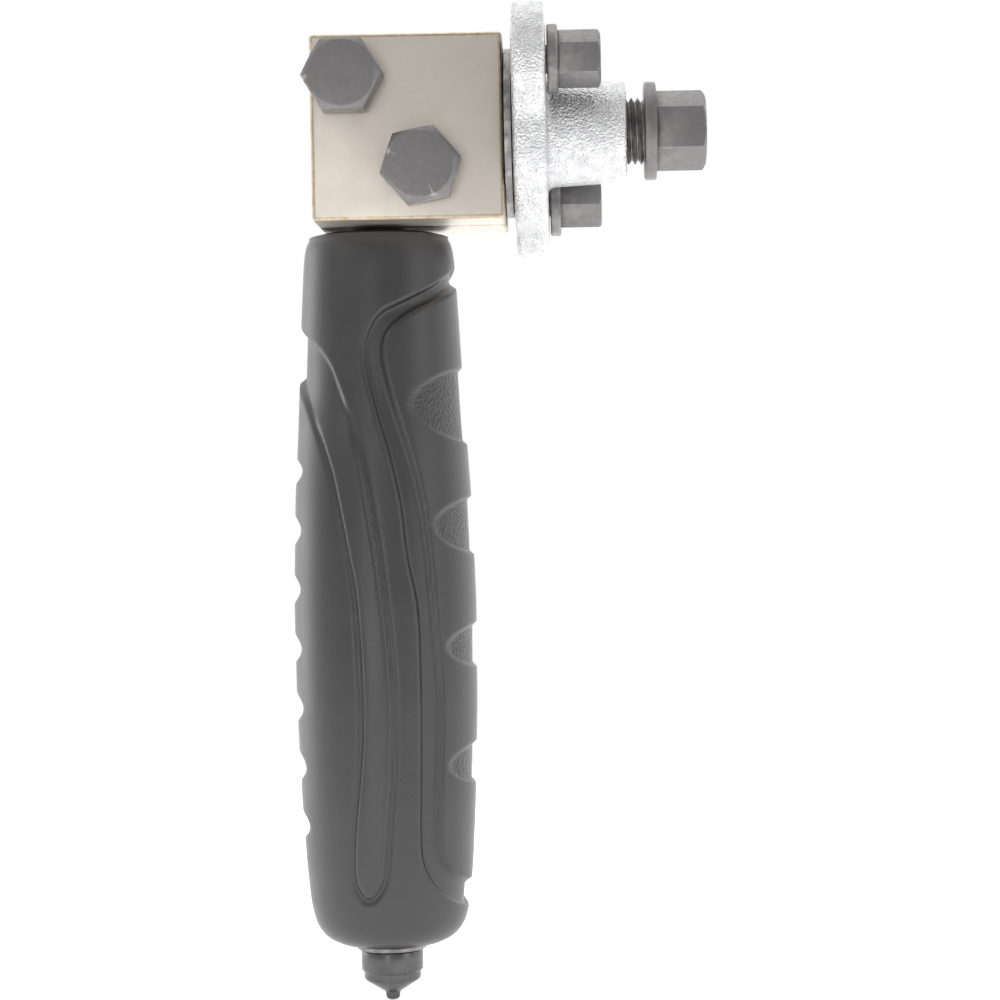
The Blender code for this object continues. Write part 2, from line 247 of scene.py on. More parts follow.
# Brings a worn colour up along convex edges, broken by noise
def edgeWearGroup():
    group, given, out = newGroup(
        "edge_wear",
        [("Color", "NodeSocketColor", (0.5, 0.5, 0.5, 1)),
         ("Worn", "NodeSocketColor", (0.8, 0.8, 0.8, 1)),
         ("Reach", "NodeSocketFloat", 0.52),
         ("Break Up", "NodeSocketFloat", 400.0)],
        [("Color", "NodeSocketColor"), ("Mask", "NodeSocketFloat")],
    )
    where = addNode(group, "ShaderNodeTexCoord", (-1100, -250))
    shape = addNode(group, "ShaderNodeNewGeometry", (-900, 250))
    noise = addNode(group, "ShaderNodeTexNoise", (-700, -150))
    noise.inputs["Detail"].default_value = 5
    high = addNode(group, "ShaderNodeMath", (-700, 250), operation="ADD")
    high.inputs[1].default_value = 0.06  # how much sharper an edge is where it is fully worn
    band = addNode(group, "ShaderNodeMapRange", (-450, 250))
    spread = addNode(group, "ShaderNodeMapRange", (-450, -50))
    spread.inputs["From Min"].default_value = 0.4
    spread.inputs["From Max"].default_value = 0.6
    both = addNode(group, "ShaderNodeMath", (-200, 100), operation="MULTIPLY")
    mix = addNode(group, "ShaderNodeMix", (100, 100), data_type="RGBA")
    link = group.links.new
    link(where.outputs["Object"], noise.inputs["Vector"])
    link(given.outputs["Break Up"], noise.inputs["Scale"])
    link(given.outputs["Reach"], high.inputs[0])
    link(given.outputs["Reach"], band.inputs["From Min"])
    link(high.outputs[0], band.inputs["From Max"])
    link(shape.outputs["Pointiness"], band.inputs["Value"])
    link(noise.outputs["Fac"], spread.inputs["Value"])
    link(band.outputs["Result"], both.inputs[0])
    link(spread.outputs["Result"], both.inputs[1])
    link(both.outputs[0], mix.inputs["Factor"])
    link(given.outputs["Color"], mix.inputs[6])
    link(given.outputs["Worn"], mix.inputs[7])
    link(mix.outputs[2], out.inputs["Color"])
    link(both.outputs[0], out.inputs["Mask"])
    return group


mottle = mottleGroup()
grain = grainGroup()
edgeWear = edgeWearGroup()


def placeGroup(tree, group, at, values):
    node = addNode(tree, "ShaderNodeGroup", at)
    node.node_tree = group
    for label, value in values.items():
        node.inputs[label].default_value = value
    return node


# One material: blotches, then edge wear, then fine grain as bump
def makeFinish(name, look):
    material = bpy.data.materials.new(name)
    material.use_nodes = True
    tree = material.node_tree
    shader = tree.nodes["Principled BSDF"]
    shader.inputs["Metallic"].default_value = look["metallic"]
    shader.inputs["Specular IOR Level"].default_value = look.get("specular", 0.5)
    blotch = placeGroup(tree, mottle, (-900, 200), {
        "Color A": (*look["color"], 1), "Color B": (*look["blotch"], 1), "Size": look["blotchSize"],
        "Rough Low": look["rough"][0], "Rough High": look["rough"][1],
    })
    wear = placeGroup(tree, edgeWear, (-500, 300), {
        "Worn": (*look["worn"], 1), "Reach": look.get("wearReach", 0.53),
    })
    height = placeGroup(tree, grain, (-900, -250), {"Size": look["grainSize"], "Pebble": look["pebble"]})
    bump = addNode(tree, "ShaderNodeBump", (-300, -250))
    bump.inputs["Strength"].default_value = look["bump"]
    bump.inputs["Distance"].default_value = look["bumpDepth"]
    link = tree.links.new
    link(blotch.outputs["Color"], wear.inputs["Color"])
    link(wear.outputs["Color"], shader.inputs["Base Color"])
    link(blotch.outputs["Roughness"], shader.inputs["Roughness"])
    link(height.outputs["Height"], bump.inputs["Height"])
    link(bump.outputs["Normal"], shader.inputs["Normal"])
    return material


finishes = {
    "nickelPlate": {
        "color": (0.68, 0.625, 0.56), "blotch": (0.65, 0.595, 0.525), "blotchSize": 260.0,
        "rough": (0.39, 0.42), "metallic": 0.9, "worn": (0.5, 0.44, 0.36), "wearReach": 0.7,
        "grainSize": 2600.0, "pebble": 0.2, "bump": 0.25, "bumpDepth": 0.00008,
    },
    # a darker, browner copy of the nickel, laid on the slanted faces of the block's eased edges
    "nickelEdgeBrown": {
        "color": (0.6, 0.52, 0.42), "blotch": (0.42, 0.32, 0.2), "blotchSize": 500.0,
        "rough": (0.28, 0.4), "metallic": 0.95, "worn": (0.5, 0.42, 0.3), "wearReach": 0.7,
        "grainSize": 2600.0, "pebble": 0.2, "bump": 0.25, "bumpDepth": 0.00008,
    },
    "blackenedSteel": {
        "color": (0.225, 0.22, 0.22), "blotch": (0.2, 0.194, 0.192), "blotchSize": 900.0,
        "rough": (0.36, 0.5), "metallic": 0.8, "worn": (0.42, 0.41, 0.4), "wearReach": 0.54,
        "grainSize": 3000.0, "pebble": 0.15, "bump": 0.25, "bumpDepth": 0.00006,
    },
    "castZinc": {
        "color": (0.76, 0.76, 0.765), "blotch": (0.6, 0.6, 0.61), "blotchSize": 420.0,
        "rough": (0.24, 0.46), "metallic": 0.9, "worn": (0.9, 0.9, 0.9), "wearReach": 0.56,
        "grainSize": 1900.0, "pebble": 0.55, "bump": 1.0, "bumpDepth": 0.00055,
    },
    "turnedSteel": {
        "color": (0.125, 0.123, 0.125), "blotch": (0.1, 0.098, 0.1), "blotchSize": 300.0,
        "rough": (0.22, 0.34), "metallic": 1.0, "worn": (0.5, 0.5, 0.5), "wearReach": 0.54,
        "grainSize": 3500.0, "pebble": 0.1, "bump": 0.15, "bumpDepth": 0.00004,
    },
    "gripPlastic": {
        "color": (0.02, 0.0185, 0.0205), "blotch": (0.024, 0.0225, 0.025), "blotchSize": 60.0,
        "rough": (0.34, 0.42), "metallic": 0.0, "worn": (0.16, 0.16, 0.165), "wearReach": 0.545,
        "grainSize": 2300.0, "pebble": 0.5, "bump": 0.5, "bumpDepth": 0.00012, "specular": 0.8,
    },
}
materials = {name: makeFinish(name, look) for name, look in finishes.items()}
print("materials made")


blockLook = {"edge": 0.9 * mm, "grooveRadius": 2.375 * mm, "boltHole": 5.3 * mm, "rodSocket": 5.3 * mm}


# Whether a point lies on one of the block's eased edges
def nearOutside(point, low, high):
    gaps = sorted(min(point[k] - low[k], high[k] - point[k]) for k in range(3))
    return gaps[1] < blockLook["edge"]


# One half of the block: a cube shaped to the CAD half, eased along its edges, then grooved and drilled
def blockHalf(name, node, body):
    low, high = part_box(node)
    deselectAll()
    bpy.ops.mesh.primitive_cube_add(size=1, location=(low + high) / 2)
    half = newest(name)
    half.scale = high - low
    settle(half)
    bevelled(half, blockLook["edge"], 3)
    grooveEnds = ((low.x - past, pipeY, pipeZ), (high.x + past, pipeY, pipeZ))
    boolean(half, rod("groove", blockLook["grooveRadius"], *grooveEnds, 40, alongX))
    for bolt in ("clamp_bolt_upper", "clamp_bolt_lower"):
        middle = middleOf(bolt)
        holeEnds = ((middle.x, low.y - past, middle.z), (middle.x, high.y + past, middle.z))
        boolean(half, rod("hole", blockLook["boltHole"], *holeEnds, 48, towardFront))
    if node == "rear_clamp_block":
        middle = middleOf("handle_rod")
        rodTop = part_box("handle_rod")[1].z
        socketEnds = ((middle.x, middle.y, rodTop + clearance), (middle.x, middle.y, low.z - past))
        boolean(half, rod("socket", blockLook["rodSocket"], *socketEnds, 48))
    smooth(half, 28)
    surface(half, materials["nickelPlate"])
    half.data.materials.append(materials["nickelEdgeBrown"])
    # The slanted faces along the eased outer edges take the darker, browner copy of the nickel
    for face in half.data.polygons:
        slanted = max(abs(side) for side in face.normal) < 0.99
        face.material_index = 1 if slanted and nearOutside(face.center, low, high) else 0
    standIn(half, body, "nickel_plate", node)


blockHalf("front_plate_ground", "front_clamp_plate", "front_plate")
blockHalf("rear_block_ground", "rear_clamp_block", "clamp_block")
print("clamp block made")


# A hexagon along Z with the turned chamfer that rounds its corners off at the top
def hexHead(name, acrossFlats, start, end, twist, crown=0.965, edge=0.18 * mm, slope=30):
    corner = acrossFlats / math.sqrt(3)
    deselectAll()
    bpy.ops.mesh.primitive_cylinder_add(
        vertices=6, radius=corner, depth=end - start,
        location=(0, 0, (start + end) / 2), rotation=(0, 0, twist),
    )
    head = newest(name)
    settle(head)
    flat = acrossFlats / 2 * crown  # radius of the flat that the chamfer leaves on top
    reach = corner * 1.3
    skirt = end - (reach - flat) * math.tan(math.radians(slope))
    foot = skirt - 0.03  # well below the hexagon
    cone = spun("crown", [(0, foot), (reach, foot), (reach, skirt), (flat, end), (0, end)])
    boolean(head, cone, "INTERSECT")
    bevelled(head, edge, 2, 25)
    return head


# A threaded length along Z: a swept V whose inner side sinks into the shank
def helix(name, radius, depth, pitch, start, turns, sides=40):
    root = radius - depth
    sunk = root - 0.5 * mm
    half = 0.46  # half the thread's width, in pitches
    shape = ((sunk, -half), (root, -half), (radius, 0.0), (root, half), (sunk, half))
    count = int(turns * sides) + 1
    verts, faces = [], []
    for step in range(count):
        angle = 2 * math.pi * step / sides
        height = start + pitch * step / sides
        taper = min(1.0, step / sides, (count - 1 - step) / sides)  # both ends run out into the shank
        for out, up in shape:
            reach = root + (out - radius + depth) * taper if out > root else out
            verts.append((reach * math.cos(angle), reach * math.sin(angle), height + up * pitch))
    width = len(shape)
    for step in range(count - 1):
        for k in range(width):
            a = step * width + k
            b = step * width + (k + 1) % width
            faces.append((a, a + width, b + width, b))
    faces.append(tuple(range(width)))
    faces.append(tuple((count - 1) * width + k for k in reversed(range(width))))
    mesh = bpy.data.meshes.new(name)
    mesh.from_pydata(verts, [], faces)
    obj = bpy.data.objects.new(name, mesh)
    bpy.context.scene.collection.objects.link(obj)
    fixNormals(obj)
    return obj


# One object holding several closed shapes
def joined(name, *parts):
    deselectAll()
    for part in parts:
        part.select_set(True)
    bpy.context.view_layer.objects.active = parts[0]
    bpy.ops.object.join()
    return newest(name)


boltLook = {
    "acrossFlats": 17 * mm, "crown": 0.915, "edge": 0.16 * mm, "slope": 40,
    "headFrom": 0.7,  # where the hexagon starts, as a share of the washer face's height
    "washer": 8.3 * mm, "washerHigh": 0.9 * mm, "washerEase": 0.15 * mm,
    "shank": 5 * mm, "coreInset": 0.7 * mm, "tipInset": 1.4 * mm, "tipEase": 0.8 * mm, "sunk": 0.2 * mm,
    "threadDepth": 0.75 * mm, "pitch": 1.5 * mm, "threadFrom": 1.2 * mm, "turns": 17,
    "rings": 620.0, "ringWaver": 0.6, "ringStrength": 0.35, "ringDepth": 0.00006,
}


# The blackened finish with the fine rings that facing leaves on one bolt's top
def facedHeadFinish(which):
    low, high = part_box("clamp_bolt_" + which)
    material = materials["blackenedSteel"].copy()
    material.name = "blackened_head_" + which
    tree = material.node_tree
    shader = tree.nodes["Principled BSDF"]
    where = addNode(tree, "ShaderNodeTexCoord", (-1500, -500))
    centred = addNode(tree, "ShaderNodeMapping", (-1300, -500))
    centred.inputs["Location"].default_value = (-(low.x + high.x) / 2, 0, -(low.z + high.z) / 2)
    rings = addNode(
        tree, "ShaderNodeTexWave", (-1100, -500), wave_type="RINGS", rings_direction="Y", wave_profile="SAW"
    )
    rings.inputs["Scale"].default_value = boltLook["rings"]
    rings.inputs["Distortion"].default_value = boltLook["ringWaver"]
    bump = addNode(tree, "ShaderNodeBump", (-100, -400))
    bump.inputs["Strength"].default_value = boltLook["ringStrength"]
    bump.inputs["Distance"].default_value = boltLook["ringDepth"]
    link = tree.links.new
    link(where.outputs["Object"], centred.inputs["Vector"])
    link(centred.outputs["Vector"], rings.inputs["Vector"])
    link(rings.outputs["Fac"], bump.inputs["Height"])
    link(shader.inputs["Normal"].links[0].from_socket, bump.inputs["Normal"])
    link(bump.outputs["Normal"], shader.inputs["Normal"])
    return material


def clampBolt(which, twist):
    look = boltLook
    node = "clamp_bolt_" + which
    low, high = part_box(node)
    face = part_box("front_clamp_plate")[0].y - clearance
    reach = high.y - face
    head = hexHead(
        "head", look["acrossFlats"], look["washerHigh"] * look["headFrom"], face - low.y, twist,
        look["crown"], look["edge"], look["slope"],
    )
    rim, thick, ease = look["washer"], look["washerHigh"], look["washerEase"]
    washer = spun("washer_face", [(0, 0), (rim - ease, 0), (rim, ease), (rim, thick), (0, thick)])
    core = look["shank"] - look["coreInset"]
    shank = spun("shank", [
        (0, look["sunk"]), (core, look["sunk"]), (core, -reach + look["tipEase"]),
        (look["shank"] - look["tipInset"], -reach), (0, -reach),
    ], 48)
    thread = helix(
        "thread", look["shank"], look["threadDepth"], look["pitch"],
        -reach + look["threadFrom"], look["turns"], 28,
    )
    bolt = joined("hex_bolt_" + which, head, washer, shank, thread)
    place(bolt, ((low.x + high.x) / 2, face, (low.z + high.z) / 2), towardFront)
    smooth(bolt, 30)
    surface(bolt, facedHeadFinish(which))
    standIn(bolt, which + "_bolt", "blackened_steel", node)


clampBolt("upper", math.radians(31))
clampBolt("lower", math.radians(41))
print("clamp bolts made")

screwLook = {
    "acrossFlats": 17 * mm, "hexLong": 12.1 * mm, "hexSunk": 1 * mm, "edge": 0.3 * mm,
    "collarThick": 2.9 * mm, "collarEase": 0.5 * mm, "easeIn": 0.12 * mm, "easeAlong": 0.15 * mm,
    "thread": 8 * mm, "coreInset": 0.95 * mm, "tipEase": 1 * mm, "coreSunk": 0.2 * mm,
    "proud": 0.2 * mm, "threadDepth": 1.15 * mm, "pitch": 1.5 * mm,
    "threadFrom": 1.8 * mm, "threadShort": 0.6 * mm,
}


def forcingScrew():
    look = screwLook
    low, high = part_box("forcing_screw")
    rim = (high.z - low.z) / 2
    hexStart = high.x - look["hexLong"]
    collarStart = hexStart - look["collarThick"]
    twist = math.radians(32)
    head = hexHead("head", look["acrossFlats"], hexStart - look["hexSunk"], high.x, twist, edge=look["edge"])
    ease, easeIn, easeAlong = look["collarEase"], look["easeIn"], look["easeAlong"]
    collar = spun("collar", [
        (0, collarStart), (rim - ease, collarStart), (rim - easeIn, collarStart + easeAlong),
        (rim, collarStart + ease), (rim, hexStart - ease),
        (rim - easeAlong, hexStart - easeIn), (rim - ease, hexStart), (0, hexStart),
    ])
    core = look["thread"] - look["coreInset"]
    coreEnd = collarStart + look["coreSunk"]
    shank = spun("shank", [
        (0, low.x), (core - look["tipEase"], low.x), (core, low.x + look["tipEase"]),
        (core, coreEnd), (0, coreEnd),
    ], 64)
    turns = (collarStart - low.x - look["threadShort"]) / look["pitch"]
    thread = helix(
        "thread", look["thread"] + look["proud"], look["threadDepth"], look["pitch"],
        low.x + look["threadFrom"], turns, 44,
    )
    screw = joined("forcing_screw_turned", head, collar, shank, thread)
    place(screw, (0, pipeY, pipeZ), alongX)
    smooth(screw, 30)
    surface(screw, materials["blackenedSteel"])
    standIn(screw, "forcing_screw", "blackened_steel", "forcing_screw")


dieScrewLook = {
    "acrossFlats": 12 * mm, "hexLong": 10.2 * mm, "hexSunk": 1 * mm, "edge": 0.25 * mm,
    "collarFrom": 8.5 * mm, "collarEase": 0.4 * mm, "core": 3.4 * mm, "coreSunk": 0.2 * mm,
}


def dieScrew(which, twist):
    look = dieScrewLook
    node = which + "_die_screw"
    low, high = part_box(node)
    rim = (high.z - low.z) / 2
    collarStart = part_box("turret_body")[0].x + look["collarFrom"]
    hexStart = high.x - look["hexLong"]
    head = hexHead("head", look["acrossFlats"], hexStart - look["hexSunk"], high.x, twist, edge=look["edge"])
    ease = look["collarEase"]
    collar = spun("collar", [
        (0, collarStart), (rim - ease, collarStart), (rim, collarStart + ease),
        (rim, hexStart - ease), (rim - ease, hexStart), (0, hexStart),
    ])
    coreEnd = collarStart + look["coreSunk"]
    core = spun("core", [(0, low.x), (look["core"], low.x), (look["core"], coreEnd), (0, coreEnd)], 40)
    screw = joined(node + "_turned", head, collar, core)
    place(screw, (0, (low.y + high.y) / 2, (low.z + high.z) / 2), alongX)
    smooth(screw, 30)
    surface(screw, materials["blackenedSteel"])
    standIn(screw, node, "blackened_steel", node)


forcingScrew()
dieScrew("upper", math.radians(36))
dieScrew("lower", math.radians(10))
print("forcing screw and die screws made")


turretLook = {
    "lobeRadius": 14.2 * mm, "plateRadius": 23 * mm, "stationY": -16.2 * mm, "stationZ": 15.2 * mm,
    "plateThick": 8.2 * mm, "rimEase": 1.3 * mm, "sides": 240, "easings": 10,
    "bossRoot": 13.3 * mm, "bossTip": 12.4 * mm, "bossSunk": 4 * mm, "rootInset": 1 * mm,
    "fillet": 1.5 * mm, "filletSunk": 0.15 * mm, "tipEase": 0.9 * mm,
    "spigotBore": 10.3 * mm, "spigotStop": 0.4 * mm, "cavity": 11.3 * mm, "cavityEnd": 37.5 * mm,
    "screwBore": 8.3 * mm, "flare": 0.9 * mm, "flareDeep": 0.8 * mm, "dieHole": 4.3 * mm,
    "overrun": 5 * mm, "skinGrid": 0.5 * mm, "skinLevel": 0.62,
}
castLumps = (("broad", 2.2 * mm, 0.16 * mm), ("fine", 0.8 * mm, 0.06 * mm))  # name, size and height


# How far one lobe reaches from the turret's axis at one angle, or 0 where it doesn't
def lobeReach(angle, y, z):
    distance = math.hypot(y, z)
    off = angle - math.atan2(z, y)
    across = turretLook["lobeRadius"] ** 2 - (distance * math.sin(off)) ** 2
    if across < 0 or math.cos(off) < 0:
        return 0.0
    return distance * math.cos(off) + math.sqrt(across)


def turretOutline():
    sides = turretLook["sides"]
    angles = [2 * math.pi * step / sides for step in range(sides)]
    y, z = turretLook["stationY"], turretLook["stationZ"]
    reaches = []
    for angle in angles:
        reaches.append(max(turretLook["plateRadius"], lobeReach(angle, y, z), lobeReach(angle, -y, -z)))
    for _ in range(turretLook["easings"]):  # fills the inner corners where a lobe meets the plate
        middles = [(reaches[step - 1] + reaches[(step + 1) % sides]) / 2 for step in range(sides)]
        reaches = [max(pair) for pair in zip(reaches, middles)]
    return angles, reaches


# The lobed plate: its outline extruded along X, with the rim rolled over on both faces
def turretPlate(start):
    angles, reaches = turretOutline()
    end = start + turretLook["plateThick"]
    deselectAll()
    bpy.ops.mesh.primitive_circle_add(
        vertices=turretLook["sides"], radius=1, fill_type="NGON", location=(start, 0, 0), rotation=alongX
    )
    plate = newest("turret_plate")
    settle(plate)
    for vertex in plate.data.vertices:
        angle = math.atan2(vertex.co.z, vertex.co.y) % (2 * math.pi)
        step = round(angle / (2 * math.pi) * turretLook["sides"]) % turretLook["sides"]
        vertex.co = (start, reaches[step] * math.cos(angles[step]), reaches[step] * math.sin(angles[step]))
    pick(plate)
    bpy.ops.object.mode_set(mode="EDIT")
    bpy.ops.mesh.select_all(action="SELECT")
    bpy.ops.mesh.extrude_region_move(TRANSFORM_OT_translate={"value": (end - start, 0, 0)})
    bpy.ops.object.mode_set(mode="OBJECT")
    fixNormals(plate)
    bevelled(plate, turretLook["rimEase"], 4, 50)
    return plate


# The tapered boss, with a fillet at its root and a rounded rim at its tip
def turretBoss(plateEnd, end):
    root, tip, fillet = turretLook["bossRoot"], turretLook["bossTip"], turretLook["fillet"]
    sunk, ease = turretLook["bossSunk"], turretLook["tipEase"]
    profile = [
        (0, plateEnd - sunk), (root - turretLook["rootInset"], plateEnd - sunk),
        (root + fillet, plateEnd - turretLook["filletSunk"]),
    ]
    quarter = [math.pi / 2 * step / 5 for step in range(6)]
    for turn in quarter[1:]:
        profile.append((root + fillet * (1 - math.sin(turn)), plateEnd + fillet * (1 - math.cos(turn))))
    for turn in quarter:
        profile.append((tip - ease * (1 - math.cos(turn)), end - ease + ease * math.sin(turn)))
    profile.append((0, end))
    return place(spun("boss", profile, 128), (0, 0, 0), alongX)


# What the turret is hollowed by: the spigot's bore, the wider cavity and the forcing screw's hole
def turretBore(start, plateEnd, end):
    spigot, cavity, hole = turretLook["spigotBore"], turretLook["cavity"], turretLook["screwBore"]
    spigotEnd = plateEnd - turretLook["spigotStop"]
    cavityEnd = turretLook["cavityEnd"]
    mouth = hole + turretLook["flare"]
    overrun = turretLook["overrun"]
    bore = spun("bore", [
        (0, start - overrun), (spigot, start - overrun), (spigot, spigotEnd), (cavity, spigotEnd),
        (cavity, cavityEnd), (hole, cavityEnd), (hole, end - turretLook["flareDeep"]),
        (mouth, end + 0.1 * mm), (mouth, end + overrun), (0, end + overrun),
    ], 96)
    return place(bore, (0, 0, 0), alongX)


# Gives the casting its soft, slightly lumpy skin
def castSkin(casting):
    remesh = casting.modifiers.new("remesh", "REMESH")
    remesh.mode = "VOXEL"
    remesh.voxel_size = turretLook["skinGrid"]
    soften = casting.modifiers.new("soften", "SMOOTH")
    soften.factor = 0.5
    soften.iterations = 2
    for label, size, height in castLumps:
        texture = bpy.data.textures.new(label, "CLOUDS")
        texture.noise_scale = size
        texture.noise_depth = 2
        push = casting.modifiers.new(label, "DISPLACE")
        push.texture = texture
        push.texture_coords = "LOCAL"
        push.strength = height
        push.mid_level = turretLook["skinLevel"]
    applyAll(casting)
    pick(casting)
    bpy.ops.object.shade_smooth()


def turretCasting():
    low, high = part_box("turret_body")
    casting = turretPlate(low.x)
    plateEnd = low.x + turretLook["plateThick"]
    boolean(casting, turretBoss(plateEnd, high.x), "UNION")
    boolean(casting, turretBore(low.x, plateEnd, high.x))
    for side in (1, -1):
        y, z = side * turretLook["stationY"], side * turretLook["stationZ"]
        hole = rod("hole", turretLook["dieHole"], (low.x - past, y, z), (plateEnd + past, y, z), 40, alongX)
        boolean(casting, hole)
    place(casting, (0, pipeY, pipeZ))
    casting.name = "turret_casting"
    castSkin(casting)
    surface(casting, materials["castZinc"])
    standIn(casting, "turret", "cast_zinc", "turret_body")


turretCasting()
print("turret casting made")

gripLook = {
    "around": 240, "rows": 380, "rowBlend": 17, "depthShare": 0.94, "bore": 6.4 * mm, "skin": 3 * mm,
    "wall": 0.8, "channelDepth": 1.7, "ridgeSunk": 1.7, "ridgeProud": 0.8,
    "ridgeRiseFrom": -58, "ridgeRise": 22, "lineDepth": 0.8, "lineWidth": 0.75, "lineOut": 0.4,
    "ovalDepth": 1.1, "ovalWall": 1.6, "ovalSpread": 0.35,
    "notchDepth": 1.5, "notchWall": 1.6, "notchHalfAngle": 30, "footFrom": -197, "footFade": 6,
    "pebbleSize": 1500.0, "pebble": 0.8, "pebbleDepth": 0.45 * mm,
}  # the relief's depths and heights are in millimetres
gripRadii = (  # radius and height down the grip, in millimetres
    (14.0, -23.2), (17.2, -24.0), (18.2, -26.5), (18.7, -31.0), (19.5, -45.0), (20.6, -69.0),
    (21.8, -89.0), (22.5, -114.0), (22.3, -138.5), (21.5, -163.0), (20.6, -178.0), (19.7, -188.0),
    (18.4, -193.5), (15.8, -196.8), (12.5, -198.2), (10.0, -198.4),
)
# Edges of the moulded channel and ridge: degrees round from the turret side, and height in millimetres
channelLeft = (
    (-15, -30), (13, -33), (55, -39), (76, -42), (88, -44), (96, -49), (99, -53), (97, -58),
    (89, -69), (83, -76), (78, -84), (74, -92), (72, -103), (65, -114), (64, -130), (64, -151),
    (65, -172), (62, -178), (54, -182.5), (40, -186), (20, -188.5), (-15, -190),
)
channelRight = (
    (-15, -35), (19, -38), (56, -42), (76, -46), (84, -49), (86, -54), (83, -59), (78, -66),
    (70, -75), (63, -84), (57, -97), (53, -120), (50, -130), (49, -146), (51, -162), (51, -172),
    (48, -176.5), (40, -179.5), (20, -182.5), (-15, -184),
)
ridgeLeft = (
    (195, -56), (170, -61), (151, -65), (135, -71), (122, -80), (114, -92), (109, -102),
    (104, -111), (102, -125), (101, -138), (102, -148), (105, -158), (109, -169), (111, -177),
    (110, -182), (104, -185),
)
ridgeRight = (
    (195, -44), (153, -49), (136, -52), (125, -56), (117, -62), (110, -68), (104, -75), (99, -83),
    (94, -95), (91, -102), (88, -112), (85, -122), (83, -135), (83, -145), (84, -156), (87, -166),
    (89, -177), (92, -182), (99, -185),
)
# Textured ovals on the turret side: height, half height and half angle
gripOvals = ((-66, 9.2, 66), (-95.5, 7.0, 53), (-125, 5.3, 45), (-154, 5.0, 43))
# Finger notches on the other side: height and half height
gripNotches = (
    (-81.5, 3.3), (-96, 3.9), (-110.5, 3.8), (-125, 3.8), (-139.5, 3.9), (-154, 4.0), (-168.5, 3.7),
)


# Goes smoothly from 0 to 1
def easeStep(value):
    share = np.clip(value, 0, 1)
    return share * share * (3 - 2 * share)


# Rounds the corners of an outline by cutting them off twice
def eased(points):
    for _ in range(2):
        cut = [points[0]]
        for (a, b), (c, d) in zip(points, points[1:]):
            cut += [(0.75 * a + 0.25 * c, 0.75 * b + 0.25 * d), (0.25 * a + 0.75 * c, 0.25 * b + 0.75 * d)]
        points = cut + [points[-1]]
    return points


# Lays points given by angle and height out flat, as millimetres round the grip and height
def unrolled(points):
    heights = [z for _, z in gripRadii][::-1]
    radii = [radius for radius, _ in gripRadii][::-1]
    return np.array([(math.radians(angle) * np.interp(z, heights, radii), z) for angle, z in points])


# Distance from each point to a line of points
def lineDistance(where, line):
    nearest = np.full(len(where), 1e9)
    for start, end in zip(line, line[1:]):
        along = end - start
        share = np.clip(((where - start) @ along) / max(along @ along, 1e-9), 0, 1)
        gap = where - start - share[:, None] * along
        nearest = np.minimum(nearest, np.hypot(gap[:, 0], gap[:, 1]))
    return nearest


# How far each point lies inside a closed outline; negative outside it
def depthInside(where, outline):
    closedLine = np.vstack([outline, outline[:1]])
    inside = np.zeros(len(where), bool)
    x, z = where[:, 0], where[:, 1]
    for (ax, az), (bx, bz) in zip(closedLine, closedLine[1:]):
        if az == bz:
            continue
        crosses = (az > z) != (bz > z)
        inside ^= crosses & (x < ax + (z - az) * (bx - ax) / (bz - az))
    return np.where(inside, 1, -1) * lineDistance(where, closedLine)


# Height of the moulded relief, in millimetres, at each (angle, height) on the grip, and the textured share
def gripRelief(angle, z, radius):
    arc = np.abs(angle) * radius
    where = np.column_stack([arc, z])
    wall = gripLook["wall"]
    leftLine, rightLine = unrolled(eased(channelLeft)), unrolled(eased(channelRight))
    channel = depthInside(where, np.vstack([leftLine, rightLine[::-1]]))
    relief = -gripLook["channelDepth"] * easeStep(channel / wall / 2 + 0.5)
    ridgeA, ridgeB = unrolled(eased(ridgeLeft)), unrolled(eased(ridgeRight))
    ridge = depthInside(where, np.vstack([ridgeA, ridgeB[::-1]]))
    down = easeStep((gripLook["ridgeRiseFrom"] - z) / gripLook["ridgeRise"])
    level = -gripLook["ridgeSunk"] * (1 - down) + gripLook["ridgeProud"] * down
    relief += level * easeStep(ridge / wall / 2 + 0.5)
    line = np.exp(-((ridge + gripLook["lineOut"]) / gripLook["lineWidth"]) ** 2)
    relief -= gripLook["lineDepth"] * down * line
    texture = np.zeros(len(z))
    for middle, half, reach in gripOvals:
        across = np.radians(reach) * radius
        level = 1 - np.hypot(arc / across, (z - middle) / half)
        share = easeStep(level * half / wall / gripLook["ovalWall"] + gripLook["ovalSpread"])
        relief -= gripLook["ovalDepth"] * share
        texture = np.maximum(texture, share)
    behind = (np.pi - np.abs(angle)) / math.radians(gripLook["notchHalfAngle"])
    for middle, half in gripNotches:
        level = 1 - np.hypot(behind, (z - middle) / half)
        relief -= gripLook["notchDepth"] * easeStep(level * gripLook["notchWall"])
    return relief, texture


# Adds the coarse moulded texture inside the ovals to the grip's plastic
def texturedOvals(material):
    tree = material.node_tree
    shader = tree.nodes["Principled BSDF"]
    mask = addNode(tree, "ShaderNodeAttribute", (-1300, -600), attribute_name="textured")
    pebbles = placeGroup(tree, grain, (-1300, -800), {
        "Size": gripLook["pebbleSize"], "Pebble": gripLook["pebble"],
    })
    both = addNode(tree, "ShaderNodeMath", (-900, -650), operation="MULTIPLY")  # pebbles only where masked
    bump = addNode(tree, "ShaderNodeBump", (-100, -400))
    bump.inputs["Strength"].default_value = 1.0
    bump.inputs["Distance"].default_value = gripLook["pebbleDepth"]
    link = tree.links.new
    link(mask.outputs["Fac"], both.inputs[0])
    link(pebbles.outputs["Height"], both.inputs[1])
    link(both.outputs[0], bump.inputs["Height"])
    link(shader.inputs["Normal"].links[0].from_socket, bump.inputs["Normal"])
    link(bump.outputs["Normal"], shader.inputs["Normal"])


